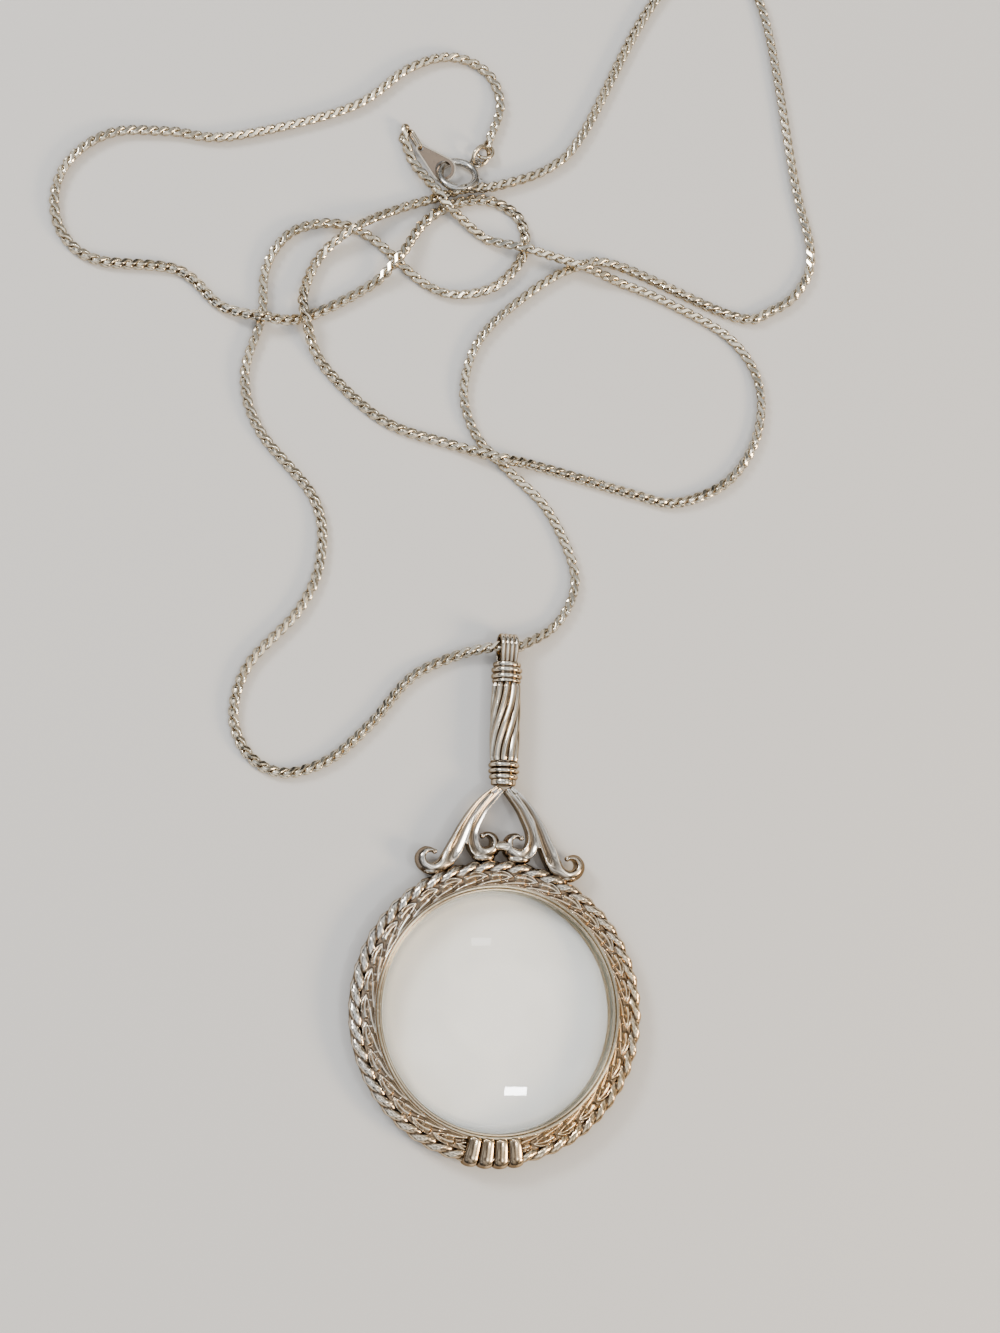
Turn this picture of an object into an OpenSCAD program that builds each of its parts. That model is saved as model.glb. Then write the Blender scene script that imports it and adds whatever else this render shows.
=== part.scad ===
// Magnifier pendant lying flat on its chain: a domed glass in a smooth bezel, a frame with an
// ornamental band, a twisted rope edge and a scrolled yoke, a spirally fluted handle with a
// wire bail, and a fine curb chain that closes with a spring ring and a drop-shaped tag.

/* [Glass] */
// Diameter of the glass
lens_d = 37.5; // [30:0.5:42]
// Thickness of the glass at its edge
lens_edge = 1.2; // [0.8:0.1:2]
// Radius of each domed face
lens_face_r = 95; // [80:1:200]
// Room between the lower face and the table
lens_room = 0.43; // [0.2:0.01:1]

/* [Bezel] */
// Wall of the bezel outside the glass
bezel_wall = 0.5; // [0.4:0.05:1]
// Reach of the lips over the edge of the glass
bezel_lip = 0.4; // [0.3:0.05:0.8]
// Thickness of the upper lip at its inner bead
bezel_lip_t = 0.45; // [0.3:0.05:0.8]
// Rise of the outer bead above the inner one
bezel_step = 0.3; // [0.1:0.05:0.5]

/* [Frame] */
// Width of the ornamental band between the bezel and the rope
band_w = 1.8; // [1.3:0.05:2.6]
// Diameter of the twisted rope
rope_d = 2.2; // [1.6:0.1:2.6]
// Height of the rope's centre above the table
rope_z = 2.6; // [2:0.1:3.2]
// Number of strand turns that show round the rope
rope_lobes = 50; // [36:1:60]
// Depth of the furrow between two strands
rope_furrow = 0.3; // [0.1:0.05:0.4]
// Height of the ornamental band's ground
band_h = 3.5; // [3.2:0.05:4]
// Height of the ornament's relief each way
relief_h = 0.22; // [0.1:0.02:0.3]
// Number of wave motifs round the band
motifs = 32; // [24:1:40]
// Reach of the flat back beyond the rope's centre
back_reach = 0.4; // [0:0.1:0.6]

/* [Sheaf] */
// Number of flutes on the cuff at the bottom
sheaf_flutes = 4; // [3:1:6]
// Width of one flute
flute_w = 2.35; // [1.6:0.05:3]
// How far the flutes stand out beyond the rope
sheaf_out = 0.4; // [0.1:0.05:0.8]
// Depth between two flutes
flute_depth = 0.45; // [0.2:0.05:0.6]
// Height of the cuff above the table
sheaf_h = 4.6; // [4.2:0.1:5]

/* [Yoke] */
// Width over both outer curls
yoke_w = 27; // [24:0.5:30]
// Height from the top of the frame to the handle
yoke_h = 11.5; // [9:0.1:14]
// Greatest width of a scroll's ribbon
ribbon_w = 2.35; // [1.8:0.05:2.8]
// Thickness of the ribbons
yoke_t = 2.4; // [1.6:0.1:3]
// Depth of the trough between a ribbon's two rims
trough = 0.4; // [0.2:0.05:0.8]

/* [Handle] */
// Height of the handle's centre line above the table
handle_z = 2.45; // [2.45:0.05:3]
// Diameter of the fluted barrel
barrel_d = 4.6; // [3.6:0.1:4.8]
// Length of the barrel
barrel_l = 12.3; // [8:0.1:20]
// Number of flutes round the barrel
barrel_flutes = 10; // [6:1:14]
// Depth of the flutes
barrel_cut = 0.35; // [0.15:0.05:0.6]
// Turn of the flutes from end to end, in degrees
barrel_twist = 78; // [0:2:120]
// Diameter over the collars' rings
collar_d = 4.86; // [4:0.02:4.88]
// Length of the lower collar
lower_collar_l = 3.7; // [2.5:0.1:5]
// Length of the upper collar
upper_collar_l = 3.25; // [2.5:0.05:5]

/* [Bail] */
// Number of parallel wires
bail_wires = 4; // [3:1:5]
// Diameter of each wire
bail_wire = 0.68; // [0.5:0.02:0.8]
// Room round the chain in the bail
bail_play = 0.45; // [0.42:0.01:0.6]
// Length of the neck between the upper collar and the bail's ring
bail_neck = 0.7; // [0.4:0.05:2]

/* [Chain] */
// Diameter of the chain
chain_d = 1.6; // [1.2:0.05:1.6]
// Room between two strands where they cross
cross_gap = 0.05; // [0.04:0.01:0.2]

/* [Clasp] */
// Outer diameter of the spring ring
clasp_d = 7; // [6.8:0.1:7.2]
// Diameter of the spring ring's tube
clasp_tube = 1.2; // [1.1:0.05:1.25]
// Tilt of the spring ring where it leans on the chain, in degrees
clasp_tilt = 27; // [22:1:30]
// Width of the mouth
mouth_w = 1.6; // [1:0.1:2]
// Diameter of the sliding bolt
bolt_d = 0.6; // [0.4:0.05:0.7]
// Room round the bolt in its tube
bolt_gap = 0.06; // [0.04:0.01:0.1]
// Turn of the bolt from shut to open, in degrees
bolt_turn = 38; // [30:1:42]
// Diameter of the thumb lever
lever_d = 1; // [0.7:0.1:1.2]
// Inner diameter of the eye on the spring ring
eye_bore = 1.1; // [1.05:0.05:1.3]
// Diameter of the eye's wire
eye_wire = 0.5; // [0.4:0.05:0.55]

/* [Tag and links] */
// Diameter of the tag's wide end
tag_d = 4; // [3.8:0.1:4.2]
// Diameter of the tag's narrow end
tag_tip_d = 1.5; // [1.5:0.05:1.6]
// Distance between the tag's two holes
tag_l = 4.84; // [4.7:0.02:5]
// Thickness of the tag's rim
tag_t = 0.5; // [0.4:0.05:0.6]
// Width of the tag's raised rim
tag_rim = 0.24; // [0.2:0.02:0.24]
// Diameter of the tag's large hole
tag_hole = 2.6; // [2.55:0.05:2.8]
// Diameter of the tag's small hole
tag_tip_hole = 0.94; // [0.9:0.02:0.94]
// Wire of the jump ring and of the end link
link_wire = 0.6; // [0.5:0.05:0.65]
// Outer diameter of the jump ring
jump_d = 3.7; // [3.6:0.05:3.8]
// Outer diameter of the end link
end_link_d = 3.2; // [3.1:0.05:3.3]
// Length of the upright link between the tag and the chain
tag_link_l = 3.7; // [3:0.1:4]
// Height of that link
tag_link_h = 2; // [1.9:0.02:2.1]
// Wire of that link
tag_link_wire = 0.44; // [0.4:0.02:0.5]

/* [Hidden] */

// Clearances between pieces that are fitted or butted together
seat_gap = 0.05;
// Furrow between two wires that lie side by side
wire_gap = 0.02;
// Steps of round shapes
$fn = 96;

// Glass and bezel
lens_r = lens_d / 2;
lens_sag = lens_face_r - sqrt(pow(lens_face_r, 2) - pow(lens_r, 2));
lens_z = lens_room + lens_sag + lens_edge / 2;
groove_r = lens_r + seat_gap;
bezel_r = groove_r + bezel_wall;
bezel_in = groove_r - bezel_lip;
lip_play = 0.15;
groove_low = lens_z - lens_edge / 2 - lip_play;
groove_high = lens_z + lens_edge / 2 + lip_play;
bead_w = (bezel_r - bezel_in) / 2;
inner_bead_z = groove_high + bezel_lip_t;
outer_bead_z = inner_bead_z + bezel_step;

// Frame, from its bore to the rope
frame_bore = bezel_r + seat_gap;
rope_r = rope_d / 2;
band_out = frame_bore + band_w;
rope_axis = band_out + rope_r - seat_gap;
ring_r = rope_axis + rope_r;
flute_turn = flute_w / rope_axis * 180 / PI;
sheaf_turn = sheaf_flutes * flute_turn;
sheaf_at = 270;
steps_per_lobe = 4;
steps_per_flute = 6;

// Places along the handle, measured from the middle of the glass
lower_collar_y = ring_r + yoke_h + seat_gap;
barrel_y = lower_collar_y + lower_collar_l + seat_gap;
upper_collar_y = barrel_y + barrel_l + seat_gap;
bail_bore_r = chain_d / 2 + bail_play;
bail_r = bail_bore_r + bail_wire / 2;
bail_pitch = bail_wire + wire_gap;
bail_y = upper_collar_y + upper_collar_l + bail_neck + bail_r + bail_wire / 2;

// The chain's route from the bail's centre: right, up, and how many strands it lies on
route_right = [[0.2, -0.1, 0.9], [2.5, 0.4, 0.75], [8, 4, 0], [11, 9.5, 0], [10.5, 15, 0],
    [6, 23, 0], [-1, 29, 0], [-6, 34, 0], [-8, 41, 0], [-5.5, 49.5, 0], [2, 57.5, 0],
    [9.5, 62.7, 0], [17, 64, 0], [37, 57.8, 0], [43.5, 59.3, 0], [48.5, 63.5, 0], [50.5, 70, 0],
    [47.5, 82, 0], [42.5, 107, 0], [38.5, 115.5, 0], [32, 119, 0], [26, 115, 0], [19.5, 105, 0],
    [10.5, 85.5, 0], [5, 79, 0], [-3.5, 74.9, 0.2], [-9.5, 73.4, 0.35], [-14, 71.5, 0.05],
    [-20.5, 68.7, 0], [-27, 64.7, 1.1], [-32, 60, 0.1], [-34.5, 54, 0.3], [-34.3, 49.5, 1.1],
    [-31, 42.5, 0], [-21, 34.5, 0], [-9.5, 31.6, 0], [-1.9, 29.9, 1.1], [4.5, 29.5, 0],
    [20, 26.6, 0], [28, 25.8, 0], [36.5, 30, 0], [41.5, 38, 0], [41.7, 47, 0], [36.5, 54, 0],
    [26, 58.7, 0], [17.5, 61.2, 0], [10.5, 62.7, 1.15], [1, 64.6, 1.1], [-5.5, 66, 0],
    [-12, 70, 1.15], [-13.7, 71.9, 1.25], [-17.7, 77.2, 0], [-19.2, 81.2, 0]];
route_left = [[-0.2, -0.15, 0.9], [-2.5, -0.35, 0.8], [-8, -2, 0], [-15, -6, 0], [-21, -13.5, 0],
    [-27.5, -19.6, 0], [-34.5, -22, 0], [-40, -19.5, 0], [-42.5, -13.5, 0], [-40.5, -5.7, 0],
    [-33, 3.5, 0], [-30, 12, 0], [-31.5, 21, 0], [-40.5, 31, 0], [-43.2, 39.5, 0], [-41, 49, 0],
    [-40.6, 57, 0], [-37, 63, 0], [-30.5, 65.4, 0], [-24, 63.8, 0], [-15.5, 57.6, 0],
    [-9.5, 56.2, 0], [-3, 58.6, 0], [1.2, 64.5, 0], [0, 70, 0], [-5, 72.2, 0], [-10.5, 71, 0],
    [-15.5, 67.3, 0.05], [-19.6, 60.9, 1.1], [-24, 55.9, 0], [-34.3, 49.6, 0], [-41.2, 48.7, 1.1],
    [-47.5, 50.1, 0], [-54.5, 55, 0], [-67, 55.2, 0], [-72.5, 58.8, 0], [-74, 65, 0],
    [-71.5, 71.3, 0], [-65.5, 75.8, 0], [-57, 77.1, 0], [-47, 77.6, 0], [-28.5, 84.7, 0],
    [-19, 92.5, 0], [-12, 95.4, 0], [-6, 93.6, 0], [-3.6, 88.5, 0], [-5.2, 82.3, 0]];

// The whole stands over the middle of its outline, and its base is the table
route_all = concat(route_right, route_left);
route_x = [for (p = route_all) p[0]];
route_y = [for (p = route_all) p[1]];
middle_x = (min(route_x) + max(route_x)) / 2;
middle_y = (bail_y + max(route_y) + chain_d / 2 - ring_r - sheaf_out) / 2;

// Clasp: places are from the bail's centre, turns are seen from above
clasp_at = [-10.5, 75.5];
clasp_low = 105;
tube_r = clasp_tube / 2;
clasp_r = clasp_d / 2 - tube_r;
clasp_z = tube_r + clasp_r * sin(clasp_tilt);
bolt_bore_r = bolt_d / 2 + bolt_gap;
mouth_turn = mouth_w / clasp_r * 180 / PI;
mouth_at = -81;
mouth_end = mouth_at + mouth_turn / 2;
mouth_start = mouth_at - mouth_turn / 2;
catch_turn = 8;
bolt_start = mouth_start - catch_turn / 2;
lever_at = bolt_start + 83;
bolt_end = lever_at + 10;
bore_end = bolt_end + bolt_turn + 14;
lever_neck = 0.36;
slit_room = 0.08;
eye_at = 44;
eye_r = (eye_bore + eye_wire) / 2;
eye_off = clasp_r + tube_r - 0.15 + eye_wire / 2 + eye_bore / 2;

// Tag and links: the tag hangs on the spring ring's tube at tag_turn
tag_turn = 150;
tag_roll = 22;
tag_heading = 142.9;
tag_slip = 0.35;
jump_at = [-6.65, 79.3];
jump_tilt = 43.4;
jump_low = -49;
end_link_at = [-5.88, 80.3];
end_link_tilt = 25.6;
end_link_low = 120;
tag_link_heading = 124;

// Yoke tables: across as a share of half the yoke's width, height above the frame's edge as a
// share of the yoke's height, and width as a share of the ribbon's
outer_scroll = [[0.07, 0.965, 0.43], [0.215, 0.85, 0.43], [0.315, 0.73, 0.53], [0.395, 0.594, 0.68],
    [0.46, 0.465, 0.81], [0.507, 0.35, 0.915], [0.556, 0.247, 1], [0.615, 0.142, 0.98],
    [0.693, 0.058, 0.85], [0.807, 0.066, 0.7], [0.911, 0.184, 0.64], [0.948, 0.316, 0.6],
    [0.904, 0.37, 0.47], [0.83, 0.337, 0.28], [0.774, 0.272, 0.16]];
inner_scroll = [[0.03, 0.95, 0.36], [0.107, 0.845, 0.38], [0.204, 0.719, 0.47], [0.274, 0.591, 0.55],
    [0.33, 0.467, 0.6], [0.359, 0.354, 0.7], [0.344, 0.222, 0.77], [0.289, 0.127, 0.81],
    [0.204, 0.088, 0.81], [0.1, 0.13, 0.72], [0.078, 0.219, 0.58], [0.1, 0.303, 0.47],
    [0.167, 0.35, 0.3], [0.219, 0.34, 0.22], [0.237, 0.323, 0.17]];
// The ridge that both scrolls share on each side, in the same shares
shared_ridge = [[0.14, 0.9], [0.23, 0.775], [0.295, 0.68], [0.355, 0.585], [0.393, 0.45],
    [0.419, 0.325], [0.437, 0.25]];
ridge_w = 0.5;
// Place of the bridge between the inner curls, in the same shares, and its thickness
bridge_at = [0.07, 0.22];
bridge_w = 1.2;

// Collars: rings as shares of the collar's length, radius and length
lower_rings = [[0.28, 0.94, 0.14], [0.58, 0.985, 0.14], [0.86, 1, 0.12]];
upper_rings = [[0.08, 0.93, 0.08], [0.36, 1, 0.14], [0.68, 0.99, 0.13]];
collar_core = 0.84;

// Moves a piece from the pendant's middle to the model's place
module placed() {
    translate([-middle_x, -middle_y, 0]) children();
}

// Moves a piece from the bail's centre to the model's place
module from_bail() {
    placed() translate([0, bail_y, 0]) children();
}

// Tilts a piece so that its side at the angle low is lowest
module leaning(tilt, low) {
    rotate([0, 0, low]) rotate([0, tilt, 0]) rotate([0, 0, -low]) children();
}

// A round wire ring, or the part of it from one angle over a turn
module wire_ring(r, wire, from = 0, turn = 360) {
    rotate([0, 0, from]) rotate_extrude(angle = turn) translate([r, 0]) circle(d = wire);
}

// Unit vector of a vector
function unit(v) = v / norm(v);

// A smooth value through four neighbours, at the share t between the middle two
function smooth(a, b, c, d, t) =
    b + t * ((c - a) / 2 + t * (a - 2.5 * b + 2 * c - d / 2 + t * ((d - a) / 2 + 1.5 * (b - c))));

// A table's rows with one smooth row added in each gap
function finer(rows) = [for (i = [0:len(rows) - 2]) each [rows[i],
    smooth(rows[max(i - 1, 0)], rows[i], rows[i + 1], rows[min(i + 2, len(rows) - 1)], 0.5)],
    rows[len(rows) - 1]];

// Solid skin over rings that have equally many points, closed round or capped at both ends
module skin(rings, round = false) {
    n = len(rings);
    m = len(rings[0]);
    last = round ? n - 1 : n - 2;
    sides = [for (i = [0:last], j = [0:m - 1])
        let (a = i * m + j, b = i * m + (j + 1) % m,
            c = (i + 1) % n * m + (j + 1) % m, d = (i + 1) % n * m + j)
        each [[a, d, c], [a, c, b]]];
    caps = round ? [] : [[for (j = [0:m - 1]) j], [for (j = [m - 1:-1:0]) (n - 1) * m + j]];
    polyhedron(points = [for (ring = rings) each ring], faces = concat(sides, caps), convexity = 8);
}

// The glass: two domes on a thin cylinder
module lens() {
    color([0.8, 0.9, 0.95, 0.5]) placed() translate([0, 0, lens_z]) rotate_extrude() intersection() {
        translate([0, -lens_z]) square([lens_r, 2 * lens_z]);
        translate([0, lens_sag + lens_edge / 2 - lens_face_r]) circle(r = lens_face_r, $fn = 720);
        translate([0, lens_face_r - lens_sag - lens_edge / 2]) circle(r = lens_face_r, $fn = 720);
    }
}

// Points of a bead's rounded top, from its outer side to its inner one
function bead_top(r, z) = [for (i = [0:6]) let (t = 30 * i)
    [r + bead_w / 2 * cos(t), z - bead_w / 2 * (1 - sin(t))]];

// The bezel: a grooved ring whose upper lip has two rounded beads
module bezel() {
    color("gainsboro") placed() rotate_extrude() polygon(concat(
        [[bezel_in, 0], [bezel_r, 0]],
        bead_top(bezel_r - bead_w / 2, outer_bead_z),
        bead_top(bezel_in + bead_w / 2, inner_bead_z),
        [[bezel_in, groove_high], [groove_r, groove_high], [groove_r, groove_low], [bezel_in, groove_low]]));
}

// Directions round the rope's section, from its foot outside to the furrow beside the band
rope_turns = [-65, -40, -10, 20, 50, 80, 110, 140];
// Places across the band as shares of its width, from the rope to the bore
band_shares = [0.12, 0.3, 0.5, 0.7, 0.9];

// Frame section at the angle a where the rope shows
function rope_section(a) = concat(
    [[frame_bore, 0], [rope_axis + back_reach, 0]],
    [for (t = rope_turns) let (r = rope_r - rope_furrow * (1 - abs(cos(rope_lobes * a / 2 - t))))
        [rope_axis + r * cos(t), rope_z + r * sin(t)]],
    [[band_out, rope_z + rope_r * 0.4]],
    [for (s = band_shares) [band_out - s * band_w, band_h + relief_h * sin(motifs * a + 260 * s)]],
    [[frame_bore, band_h - relief_h]]);

// Frame section in the cuff, where rise goes from 0 between two flutes to 1 on a flute
function sheaf_section(rise) = let (
        r = rope_r + sheaf_out - flute_depth * (1 - rise),
        h = sheaf_h - flute_depth * (1 - rise),
        step = max(0, sheaf_h - rope_z - rope_r - sheaf_out))
    concat(
        [[frame_bore, 0], [rope_axis + back_reach, 0]],
        [for (t = rope_turns)
            [rope_axis + r * cos(t), rope_z + r * sin(t) + step * (t > 90 ? 1 : 0)]],
        [[band_out, h]],
        [for (s = band_shares) [band_out - s * band_w, h]],
        [[frame_bore, h - 0.15]]);

// A section's points stood up at the angle a
function stand(section, a) = [for (p = section) [p[0] * cos(a), p[0] * sin(a), p[1]]];

// The soldered ring: flat back, ornamental band, rope and fluted cuff
module rope_ring() {
    rope_from = sheaf_at + sheaf_turn / 2;
    rope_steps = steps_per_lobe * round(rope_lobes * (360 - sheaf_turn) / 360);
    flute_steps = steps_per_flute * sheaf_flutes;
    skin(concat(
        [for (i = [flute_steps:-1:0])
            stand(sheaf_section(abs(sin(180 * i / steps_per_flute))),
                sheaf_at + sheaf_turn * (i / flute_steps - 0.5))],
        [for (i = [rope_steps - 1:-1:1]) let (a = rope_from + (360 - sheaf_turn) * i / rope_steps)
            stand(rope_section(a), a)]), round = true);
}

// Plan point of a yoke row, above the frame's edge
function yoke_at(x, h) = let (across = x * yoke_w / 2)
    [across, sqrt(pow(ring_r, 2) - pow(across, 2)) + h * yoke_h];

// One scroll: a ribbon with two rims and a trough between them
module scroll(table) {
    rows = finer(table);
    at = [for (row = rows) yoke_at(row[0], row[1])];
    skin([for (i = [0:len(rows) - 1]) let (
            along = unit(at[min(i + 1, len(at) - 1)] - at[max(i - 1, 0)]),
            across = [along[1], -along[0]],
            half = rows[i][2] * ribbon_w / 2,
            thick = yoke_t * (0.55 + 0.45 * rows[i][2]),
            dip = trough * rows[i][2],
            edge = thick * 0.28)
        [for (p = [[-0.7, -thick / 2], [-1, edge - thick / 2], [-1, thick / 2 - edge],
                [-0.7, thick / 2], [-0.25, thick / 2 - dip], [0.25, thick / 2 - dip],
                [0.7, thick / 2], [1, thick / 2 - edge], [1, edge - thick / 2], [0.7, -thick / 2]])
            concat(at[i] + p[0] * half * across, handle_z + p[1])]]);
}

// Half of the yoke: both scrolls and the ridge between them
module half_yoke() {
    scroll(outer_scroll);
    scroll(inner_scroll);
    for (i = [0:len(shared_ridge) - 2]) {
        hull() {
            for (row = [shared_ridge[i], shared_ridge[i + 1]]) {
                translate(concat(yoke_at(row[0], row[1]), handle_z + yoke_t * 0.34))
                    sphere(d = ridge_w, $fn = 8);
            }
        }
    }
}

// The bridge where both inner curls meet
module curl_bridge() {
    hull() {
        for (side = [-1, 1]) {
            translate(concat(yoke_at(side * bridge_at[0], bridge_at[1]), handle_z))
                sphere(d = bridge_w, $fn = 16);
        }
    }
}

// The frame: the soldered ring with its scrolled yoke, one solid
module frame() {
    color("silver") placed() union() {
        rope_ring();
        half_yoke();
        mirror([1, 0, 0]) half_yoke();
        curl_bridge();
    }
}

// Outline of a collar with rings, from one end's radius to the other's
function collar_outline(l, rings, start_r, end_r) = concat(
    [[0, 0], [start_r, 0]],
    [for (ring = rings) each [for (i = [0:6]) let (t = 30 * i)
        [collar_d / 2 * (collar_core + (ring[1] - collar_core) * sin(t)),
            l * (ring[0] - ring[2] * cos(t))]]],
    [[end_r, l], [0, l]]);

// Turns a piece drawn upright along the handle's line, with its foot at y
module along_handle(y) {
    translate([0, y, handle_z]) rotate([-90, 0, 0]) children();
}

// The collar between the yoke and the barrel
module lower_collar() {
    color("silver") placed() along_handle(lower_collar_y) rotate_extrude()
        polygon(collar_outline(lower_collar_l, lower_rings, collar_d * 0.37, collar_d * 0.47));
}

// The spirally fluted barrel, slightly fuller in the middle
module barrel() {
    rings = 16;
    sides = 4 * barrel_flutes;
    color("silver") placed() along_handle(barrel_y) skin([for (i = [0:rings]) let (
            t = i / rings,
            turn = barrel_twist * t * t * (3 - 2 * t),
            full = barrel_d / 2 - 0.12 * pow(2 * t - 1, 4))
        [for (j = [0:sides - 1]) let (a = 360 * j / sides,
                r = full - barrel_cut * (1 - abs(cos(a * barrel_flutes / 2))))
            [r * cos(a + turn), r * sin(a + turn), barrel_l * t]]]);
}

// The bail: parallel wires on a lining, with a neck and the upper collar, one solid
module bail() {
    neck_at = upper_collar_y + upper_collar_l;
    first = -(bail_wires - 1) / 2;
    width = bail_pitch * bail_wires - bail_wire / 2;
    lining_in = bail_bore_r + bail_wire * 0.2;
    leg_l = bail_y - bail_r - neck_at;
    color("silver") placed() union() {
        along_handle(upper_collar_y) rotate_extrude()
            polygon(collar_outline(upper_collar_l, upper_rings, collar_d * 0.46, collar_d * 0.33));
        translate([0, bail_y, handle_z]) rotate([0, 90, 0]) difference() {
            cylinder(r = bail_r + bail_wire * 0.15, h = width, center = true);
            cylinder(r = lining_in, h = width + 1, center = true);
        }
        for (i = [0:bail_wires - 1]) {
            translate([bail_pitch * (first + i), bail_y, handle_z]) rotate([0, 90, 0])
                wire_ring(bail_r, bail_wire);
        }
        translate([-width / 2, neck_at - 0.1, handle_z - bail_r * 0.6])
            cube([width, leg_l + 0.2, bail_r * 1.2]);
    }
}

// Height of a strand's centre on so many strands
function strand_z(level) = chain_d / 2 + level * (chain_d + cross_gap);

// One stretch of the chain: an eight-sided tube swept along the points of its route
module strand(route) {
    at = [for (p = route) [p[0], p[1], strand_z(p[2])]];
    from_bail() skin([for (i = [0:len(at) - 1]) let (
            back = i == 0 ? unit(at[1] - at[0]) : unit(at[i] - at[i - 1]),
            ahead = i == len(at) - 1 ? back : unit(at[i + 1] - at[i]),
            along = unit(back + ahead),
            side = unit([-along[1], along[0], 0]),
            up = cross(along, side),
            widen = 1 / max(0.7, along * ahead))
        [for (j = [0:7]) at[i] + chain_d / 2 * (widen * cos(45 * j) * side + sin(45 * j) * up)]]);
}

// The right side of the chain, from the bail to the tag's link
module chain_right() {
    color("darkkhaki") strand(route_right);
}

// The left side of the chain, from the bail to the end link
module chain_left() {
    color("darkkhaki") strand(route_left);
}

// The ring that ends the left side of the chain
module end_link() {
    r = (end_link_d - link_wire) / 2;
    color("silver") from_bail()
        translate([end_link_at[0], end_link_at[1], link_wire / 2 + r * sin(end_link_tilt)])
        leaning(end_link_tilt, end_link_low) wire_ring(r, link_wire);
}

// The jump ring between the end link and the spring ring's eye
module jump_ring() {
    r = (jump_d - link_wire) / 2;
    color("silver") from_bail()
        translate([jump_at[0], jump_at[1], link_wire / 2 + r * sin(jump_tilt)])
        leaning(jump_tilt, jump_low) wire_ring(r, link_wire);
}

// Moves a piece from the spring ring's centre and plane to its place
module at_clasp() {
    from_bail() translate([clasp_at[0], clasp_at[1], clasp_z]) leaning(clasp_tilt, clasp_low) children();
}

// The spring ring: a hollow tube with a mouth, a slit for the lever and an eye
module clasp_ring() {
    slit_start = lever_at - (lever_neck / 2 + slit_room) / clasp_r * 180 / PI;
    slit_turn = bolt_turn + 2 * (lever_neck / 2 + slit_room) / clasp_r * 180 / PI;
    slit_w = lever_neck + 2 * slit_room;
    color("lightgray") at_clasp() difference() {
        union() {
            wire_ring(clasp_r, clasp_tube);
            rotate([0, 0, eye_at]) translate([eye_off, 0, 0]) wire_ring(eye_r, eye_wire);
        }
        wire_ring(clasp_r, 2 * bolt_bore_r, mouth_start - catch_turn, bore_end - mouth_start + catch_turn);
        rotate([0, 0, mouth_start]) rotate_extrude(angle = mouth_turn)
            translate([clasp_r - clasp_tube, -clasp_tube]) square(2 * clasp_tube);
        rotate([0, 0, slit_start]) rotate_extrude(angle = slit_turn)
            translate([clasp_r, -slit_w / 2]) square([clasp_tube, slit_w]);
    }
}

// The sliding bolt with its thumb lever, shut
module clasp_bolt() {
    lever_foot = clasp_r + tube_r + 0.1;
    color("lightgray") at_clasp() union() {
        wire_ring(clasp_r, bolt_d, bolt_start, bolt_end - bolt_start);
        rotate([0, 0, lever_at]) rotate([0, 90, 0]) {
            translate([0, 0, clasp_r]) cylinder(d = lever_neck, h = tube_r + 0.3);
            translate([0, 0, lever_foot]) cylinder(d = lever_d, h = 0.35);
        }
    }
}

// Outline of the tag, drawn smaller by inset
module tag_outline(inset) {
    wide = tag_d / 2 - inset;
    tip = tag_tip_d / 2 - inset;
    lean = acos((wide - tip) / tag_l);
    polygon(concat(
        [for (i = [0:24]) let (t = lean + (360 - 2 * lean) * i / 24) wide * [cos(t), sin(t)]],
        [for (i = [0:10]) let (t = lean * (i / 5 - 1)) [tag_l, 0] + tip * [cos(t), sin(t)]]));
}

// Point of the tube's centre line at the angle where the tag hangs, from the clasp's centre
tag_lag = tag_turn - clasp_low;
tag_on_tube = clasp_r * [cos(tag_lag) * cos(clasp_tilt) * cos(clasp_low) - sin(tag_lag) * sin(clasp_low),
    cos(tag_lag) * cos(clasp_tilt) * sin(clasp_low) + sin(tag_lag) * cos(clasp_low),
    -cos(tag_lag) * sin(clasp_tilt)];
tag_at = [clasp_at[0] + tag_on_tube[0] - tag_slip * cos(tag_heading),
    clasp_at[1] + tag_on_tube[1] - tag_slip * sin(tag_heading), clasp_z + tag_on_tube[2]];
tag_link_z = tag_link_h / 2;
tag_pitch = asin((tag_at[2] - tag_link_z) / tag_l);
tag_tip_at = [tag_at[0] + tag_l * cos(tag_pitch) * cos(tag_heading),
    tag_at[1] + tag_l * cos(tag_pitch) * sin(tag_heading)];

// The tag: a drop-shaped plate with a raised rim, threaded on the spring ring
module tag() {
    plate = tag_t * 0.6;
    color("tan") from_bail() translate(tag_at)
        rotate([0, 0, tag_heading]) rotate([0, tag_pitch, 0]) rotate([-tag_roll, 0, 0]) difference() {
            translate([0, 0, -tag_t / 2]) linear_extrude(tag_t) tag_outline(0);
            for (side = [-1, 1]) {
                translate([0, 0, side * (plate + tag_t) / 2 - tag_t / 2])
                    linear_extrude(tag_t) tag_outline(tag_rim);
            }
            cylinder(d = tag_hole, h = 2 * tag_t, center = true);
            translate([tag_l, 0, 0]) cylinder(d = tag_tip_hole, h = 2 * tag_t, center = true);
        }
}

// The upright long link that joins the tag to the right side of the chain
module tag_link() {
    r = (tag_link_h - tag_link_wire) / 2;
    straight = tag_link_l - tag_link_h;
    color("silver") from_bail() translate([tag_tip_at[0], tag_tip_at[1], tag_link_z])
        rotate([0, 0, tag_link_heading]) translate([r, 0, 0]) rotate([90, 0, 0]) union() {
            wire_ring(r, tag_link_wire, 90, 180);
            translate([straight, 0, 0]) wire_ring(r, tag_link_wire, -90, 180);
            for (side = [-1, 1]) {
                translate([0, side * r, 0]) rotate([0, 90, 0]) cylinder(d = tag_link_wire, h = straight);
            }
        }
}

lens();
bezel();
frame();
lower_collar();
barrel();
bail();
chain_right();
chain_left();
end_link();
jump_ring();
clasp_ring();
clasp_bolt();
tag();
tag_link();
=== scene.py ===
"""Looks of the magnifier pendant and its chain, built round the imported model, in metres."""

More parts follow.
